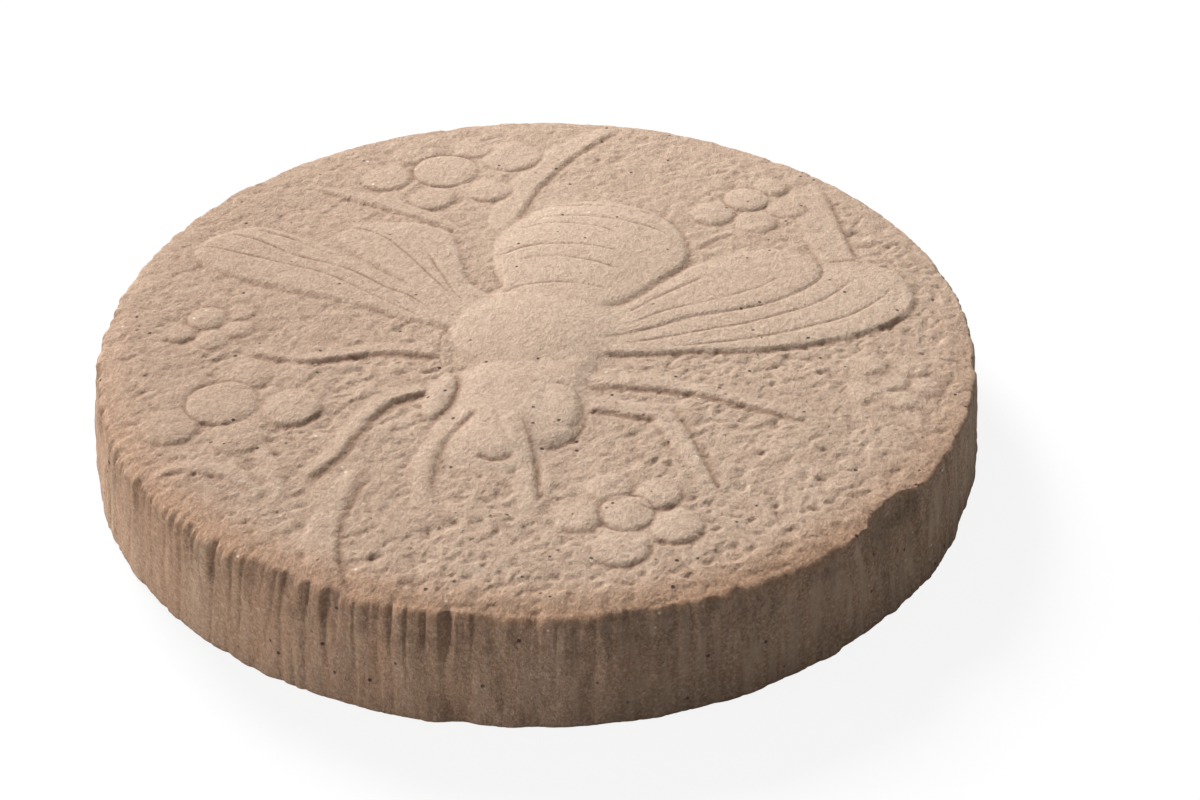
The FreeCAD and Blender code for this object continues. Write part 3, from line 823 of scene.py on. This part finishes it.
def stone_material(colours):
    """Cast concrete: tan on the worn motif, browner in the ground and down the wall, with painted shade in
    hollows, moats, grooves and across the front of the wall and rim, and with sand grain, pinholes and pale
    grains in it."""
    material = bpy.data.materials.new("cast_stone")
    material.use_nodes = True
    tree = material.node_tree
    tree.nodes.clear()
    start = Shade(tree)
    places = start.node("ShaderNodeTexCoord", output=3)
    surface = start.node("ShaderNodeVertexColor", {"layer_name": "surface"})
    facing = start.node("ShaderNodeNewGeometry", output=1)

    def parts(kind, source):
        return [start.node(kind, {}, {0: source}, part) for part in range(3)]

    hollow_shade_and_dirt, motif, broken = parts("ShaderNodeSeparateColor", surface)
    across, along, height = parts("ShaderNodeSeparateXYZ", places)
    upwards = start.node("ShaderNodeSeparateXYZ", {}, {0: facing}, 2)

    def noise(scale, detail=3.0, rough=0.55, source=places):
        values = {"Vector": source, "Scale": scale, "Detail": detail, "Roughness": rough}
        return start.node("ShaderNodeTexNoise", {}, values)

    def dots(scale, source=places):
        return start.node("ShaderNodeTexVoronoi", {}, {"Vector": source, "Scale": scale})

    drawn_down = start.node("ShaderNodeMapping", {}, {"Vector": places, "Scale": (1.0, 1.0, 0.07)})
    laid_flat = start.node("ShaderNodeMapping", {}, {"Vector": places, "Scale": (1.0, 0.72, 1.0)})
    wall = 1 - upwards.spread(0.25, 0.80)
    out = start.node("ShaderNodeVectorMath", {"operation": "LENGTH"}, {0: places}, 1)
    left = 1 - across.spread(-0.14, 0.0)
    right = across.spread(0.02, 0.13)
    lee = across.spread(-0.03, 0.05)
    front = 1 - along.spread(-0.12, 0.02)
    # The middle of the front wall, on the side away from the lamps: painted darker there as its shade
    middle = front * (1 - left) * (1 - right)
    back = along.spread(0.03, 0.12)
    # The band along the rim at the front, where the rim rolls away from the key lamp: painted darker as its
    # shade
    rim = out.spread(0.1370, 0.1520) * front
    patches = noise(16.0, 4.0).spread(0.35, 0.65)
    mottle = noise(95.0, 4.0, 0.65).spread(0.32, 0.68)
    blotches = noise(230.0, 4.0, 0.65).spread(0.36, 0.66)
    sand = noise(1000.0, 5.0, 0.75, laid_flat).spread(0.32, 0.68)
    coarse = noise(430.0, 3.0, 0.65, laid_flat).spread(0.32, 0.68)
    streaks = noise(320.0, 3.0, 0.6, drawn_down).spread(0.35, 0.66)
    broad_streaks = noise(55.0, 3.0, 0.6, drawn_down).spread(0.38, 0.64)
    thin_streaks = noise(330.0, 2.0, 0.5, drawn_down).spread(0.49, 0.60)

    lower = 1 - height.spread(0.0, 0.03)
    foot = 1 - height.spread(0.0, 0.022)
    under_rim = height.spread(0.014, 0.034) * front * mottle
    shade = wall * lee
    pinhole = (1 - dots(150.0).spread(0.07, 0.11)) * noise(45.0, 1.0).spread(0.48, 0.52)
    speck = (1 - dots(210.0).spread(0.08, 0.14)) * noise(60.0, 1.0).spread(0.62, 0.66)
    # Damp streaks and mottle, more on the right and the back, with a little painted shade across the front's
    # middle
    damp = broad_streaks * 0.45 + mottle * 0.25 + right * 0.40 + middle * 0.10 + back * 0.4

    # Each layer over the tan: its colour, and its share at each place
    layers = (
        ("pale", patches * 0.30 + motif * 0.35),
        ("brown", mottle * (0.52 - motif * 0.30) + blotches * (0.32 - motif * 0.14) + left * 0.62),
        ("deep", left * 0.12 * (1 - wall)),
        # The rim's band at the front in the wall's colour, its painted shade
        ("wall", rim * 0.95),
        # The wall's stain, stronger towards the bottom, and stronger at the front, the side in shade, as
        # painted shade
        ("wall", wall * (0.60 + 0.20 * front + 0.20 * lower)),
        ("moss", wall * damp),
        # Painted shade in hollows, moats and grooves, with the dirt there
        ("deep", hollow_shade_and_dirt.spread(0.54, 0.95) * (0.80 - wall * 0.1)),
        # The wall's streaks and blotches, darker towards the bottom, and painted shade across the middle of
        # the front
        ("deep", wall * (streaks * 0.34 + blotches * 0.34 + foot * 0.16 + middle * 0.42)),
        ("pale", (0.47 - hollow_shade_and_dirt).spread(0.0, 0.3) * 0.4),
        ("moss", broken * 0.8),
        ("deep", (1 - sand) * (0.33 + shade * 0.15) + (1 - coarse) * (0.29 + shade * 0.3)),
        ("pale", sand ** 2.0 * (0.40 + shade * 0.25)),
        ("brown", shade * thin_streaks * (0.45 + right * 0.25)),
        ("hole", shade * streaks * 0.20 + wall * under_rim * (0.10 + blotches * 0.45)),
        ("hole", broken * (0.14 + mottle * 0.26)),
        ("hole", pinhole * 0.8),
        ("speck", speck * 0.6),
    )
    colour = start.node("ShaderNodeRGB")
    colour.socket.default_value = colours["tan"]
    for name, share in layers:
        colour = colour.toward(colours[name], share)

    grain = sand * 0.8 + coarse * (1.0 - motif * 0.1)
    relief = grain - pinhole * 1.5 - wall * (streaks * 0.5 + blotches * 0.5)
    bump = start.node("ShaderNodeBump", {}, {"Strength": 0.7, "Distance": 0.0004, "Height": relief})
    gloss = {"Roughness": 0.93 - mottle * 0.06, "Specular IOR Level": 0.25}
    cast = start.node("ShaderNodeBsdfPrincipled", {}, {"Base Color": colour, "Normal": bump, **gloss})
    start.node("ShaderNodeOutputMaterial", {}, {"Surface": cast})
    return material


def colour_property(name, description, red, green, blue):
    """A colour that a user would change."""
    return bpy.props.FloatVectorProperty(
        name=name, description=description, subtype="COLOR", size=4, default=(red, green, blue, 1.0))


class StoneSettings(bpy.types.PropertyGroup):
    """What a user would change about the stone."""

    detail: bpy.props.IntProperty(
        name="Detail", description="Places across the tread before thinning", default=641, min=81, max=901)
    triangles: bpy.props.IntProperty(
        name="Triangles", description="Triangles left after thinning", default=188000, min=5000)
    roughness: bpy.props.FloatProperty(
        name="Roughness", description="How rough the ground between the forms is", default=1.0, min=0.0)
    tan: colour_property("Tan", "The main colour", 0.62, 0.46, 0.345)
    pale: colour_property("Pale", "Worn places and sand grains", 0.74, 0.585, 0.455)
    brown: colour_property("Brown", "The ground's mottling", 0.46, 0.325, 0.235)
    # Deep is also painted shade in hollows, moats, grooves and across the front wall; Wall is the front
    # rim's
    deep: colour_property("Deep", "Dirt in the hollows", 0.26, 0.146, 0.090)
    wall: colour_property("Wall", "The wall's stain", 0.43, 0.235, 0.130)
    moss: colour_property("Moss", "The broken place and the wall's damp streaks", 0.26, 0.188, 0.105)
    hole: colour_property("Hole", "Inside a pinhole", 0.03, 0.02, 0.015)
    speck: colour_property("Speck", "A pale grain", 0.85, 0.78, 0.66)


class StudioSettings(bpy.types.PropertyGroup):
    """What a user would change about the studio."""

    lens: bpy.props.FloatProperty(
        name="Lens", description="Focal length in millimetres", default=54.0, min=10.0)
    elevation: bpy.props.FloatProperty(
        name="Elevation", description="How far the camera looks down", default=math.radians(36.17),
        subtype="ANGLE")
    roll: bpy.props.FloatProperty(
        name="Roll", description="How far the camera leans", default=math.radians(0.577), subtype="ANGLE")
    key: bpy.props.FloatProperty(
        name="Key light", description="The large lamp behind, on the left", default=105.0, unit="POWER")
    side: bpy.props.FloatProperty(
        name="Side light", description="The low lamp on the left", default=12.0, unit="POWER")
    front: bpy.props.FloatProperty(
        name="Front light", description="The weak lamp in front", default=0.4, unit="POWER")
    sky: bpy.props.FloatProperty(name="Sky", description="The even light from all round", default=0.215)


class STONE_OT_cast(bpy.types.Operator):
    """Make the stone in place of its plain solid"""

    bl_idname = "stepping_stone.cast"
    bl_label = "Cast stone"

    def execute(self, context):
        settings = context.scene.stepping_stone
        names = ("tan", "pale", "brown", "deep", "wall", "moss", "hole", "speck")
        mesh = thinned(stone_mesh(settings.detail, settings.roughness), settings.triangles)
        mesh.name = "stepping_stone_cast"
        mesh.materials.append(stone_material({name: tuple(getattr(settings, name)) for name in names}))
        piece = bpy.data.objects.new("stepping_stone_cast", mesh)
        context.scene.collection.objects.link(piece)
        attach(piece, "root")
        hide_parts("stepping_stone")
        return {"FINISHED"}


def area_lamp(name, place, aim, size, power):
    """A square lamp at a place, facing another place."""
    lamp = bpy.data.lights.new(name, "AREA")
    lamp.shape = "SQUARE"
    lamp.size = size
    lamp.energy = power
    holder = bpy.data.objects.new(name, lamp)
    towards = np.array(place) - np.array(aim)
    bearing = math.atan2(towards[1], towards[0])
    tilt = math.acos(towards[2] / float(np.linalg.norm(towards)))
    holder.location = place
    holder.rotation_euler = Euler((0.0, tilt, bearing))
    bpy.context.scene.collection.objects.link(holder)


def floor_material():
    """Near-white paint. A camera ray sees it partly as plain white, so that it stays pale with a shadow."""
    material = bpy.data.materials.new("studio_floor")
    material.use_nodes = True
    tree = material.node_tree
    tree.nodes.clear()
    start = Shade(tree)
    paint = start.node("ShaderNodeBsdfDiffuse", {}, {"Color": PAINT})
    white = start.node("ShaderNodeEmission", {}, {"Color": WHITE, "Strength": 1.0})
    camera = start.node("ShaderNodeLightPath")
    mixed = start.node("ShaderNodeMixShader", {}, {0: camera * 0.88, 1: paint, 2: white})
    start.node("ShaderNodeOutputMaterial", {}, {"Surface": mixed})
    return material


class STONE_OT_studio(bpy.types.Operator):
    """Set up the floor, the lamps, the sky and the camera"""

    bl_idname = "stepping_stone.studio"
    bl_label = "Studio"

    def execute(self, context):
        scene = context.scene
        settings = scene.stepping_studio
        scene.view_settings.view_transform = "Standard"
        corners = FLOOR_REACH * np.array([(-1, -1, 0), (1, -1, 0), (1, 1, 0), (-1, 1, 0)])
        mesh = mesh_from_arrays("studio_floor", corners, np.array([[0, 1, 2, 3]]), np.zeros((0, 3), int))
        mesh.materials.append(floor_material())
        floor = bpy.data.objects.new("studio_floor", mesh)
        scene.collection.objects.link(floor)
        world = bpy.data.worlds.new("studio_sky")
        world.use_nodes = True
        world.node_tree.nodes.clear()
        start = Shade(world.node_tree)
        camera_ray = start.node("ShaderNodeLightPath")
        strength = camera_ray * (1.0 - settings.sky) + settings.sky
        light = start.node("ShaderNodeBackground", {}, {"Color": WHITE, "Strength": strength})
        start.node("ShaderNodeOutputWorld", {}, {"Surface": light})
        scene.world = world
        area_lamp("key_lamp", *KEY_LAMP, settings.key)
        area_lamp("side_lamp", *SIDE_LAMP, settings.side)
        area_lamp("front_lamp", *FRONT_LAMP, settings.front)
        camera = bpy.data.objects.new("camera", bpy.data.cameras.new("camera"))
        camera.data.sensor_width = 36.0
        camera.data.lens = settings.lens
        camera.data.clip_end = 50.0
        tilt = Matrix.Rotation(math.pi / 2 - settings.elevation, 4, "X")
        roll = Matrix.Rotation(settings.roll, 4, "Z")
        camera.matrix_world = Matrix.Translation(CAMERA_PLACE) @ tilt @ roll
        scene.collection.objects.link(camera)
        scene.camera = camera
        return {"FINISHED"}


class STONE_PT_panel(bpy.types.Panel):
    """Lists the stone's settings and buttons."""

    bl_idname = "STONE_PT_panel"
    bl_label = "Stepping Stone"
    bl_space_type = "VIEW_3D"
    bl_region_type = "UI"
    bl_category = "Stepping Stone"

    def draw(self, context):
        layout = self.layout
        for settings in (context.scene.stepping_stone, context.scene.stepping_studio):
            for name in settings.__annotations__:
                layout.prop(settings, name)
        layout.operator(STONE_OT_cast.bl_idname)
        layout.operator(STONE_OT_studio.bl_idname)


CLASSES = (StoneSettings, StudioSettings, STONE_OT_cast, STONE_OT_studio, STONE_PT_panel)


def register():
    for item in CLASSES:
        bpy.utils.register_class(item)
    bpy.types.Scene.stepping_stone = bpy.props.PointerProperty(type=StoneSettings)
    bpy.types.Scene.stepping_studio = bpy.props.PointerProperty(type=StudioSettings)


def unregister():
    del bpy.types.Scene.stepping_studio
    del bpy.types.Scene.stepping_stone
    for item in reversed(CLASSES):
        bpy.utils.unregister_class(item)


def main():
    register()
    bpy.ops.stepping_stone.cast()
    bpy.ops.stepping_stone.studio()


if __name__ == "__main__":
    main()
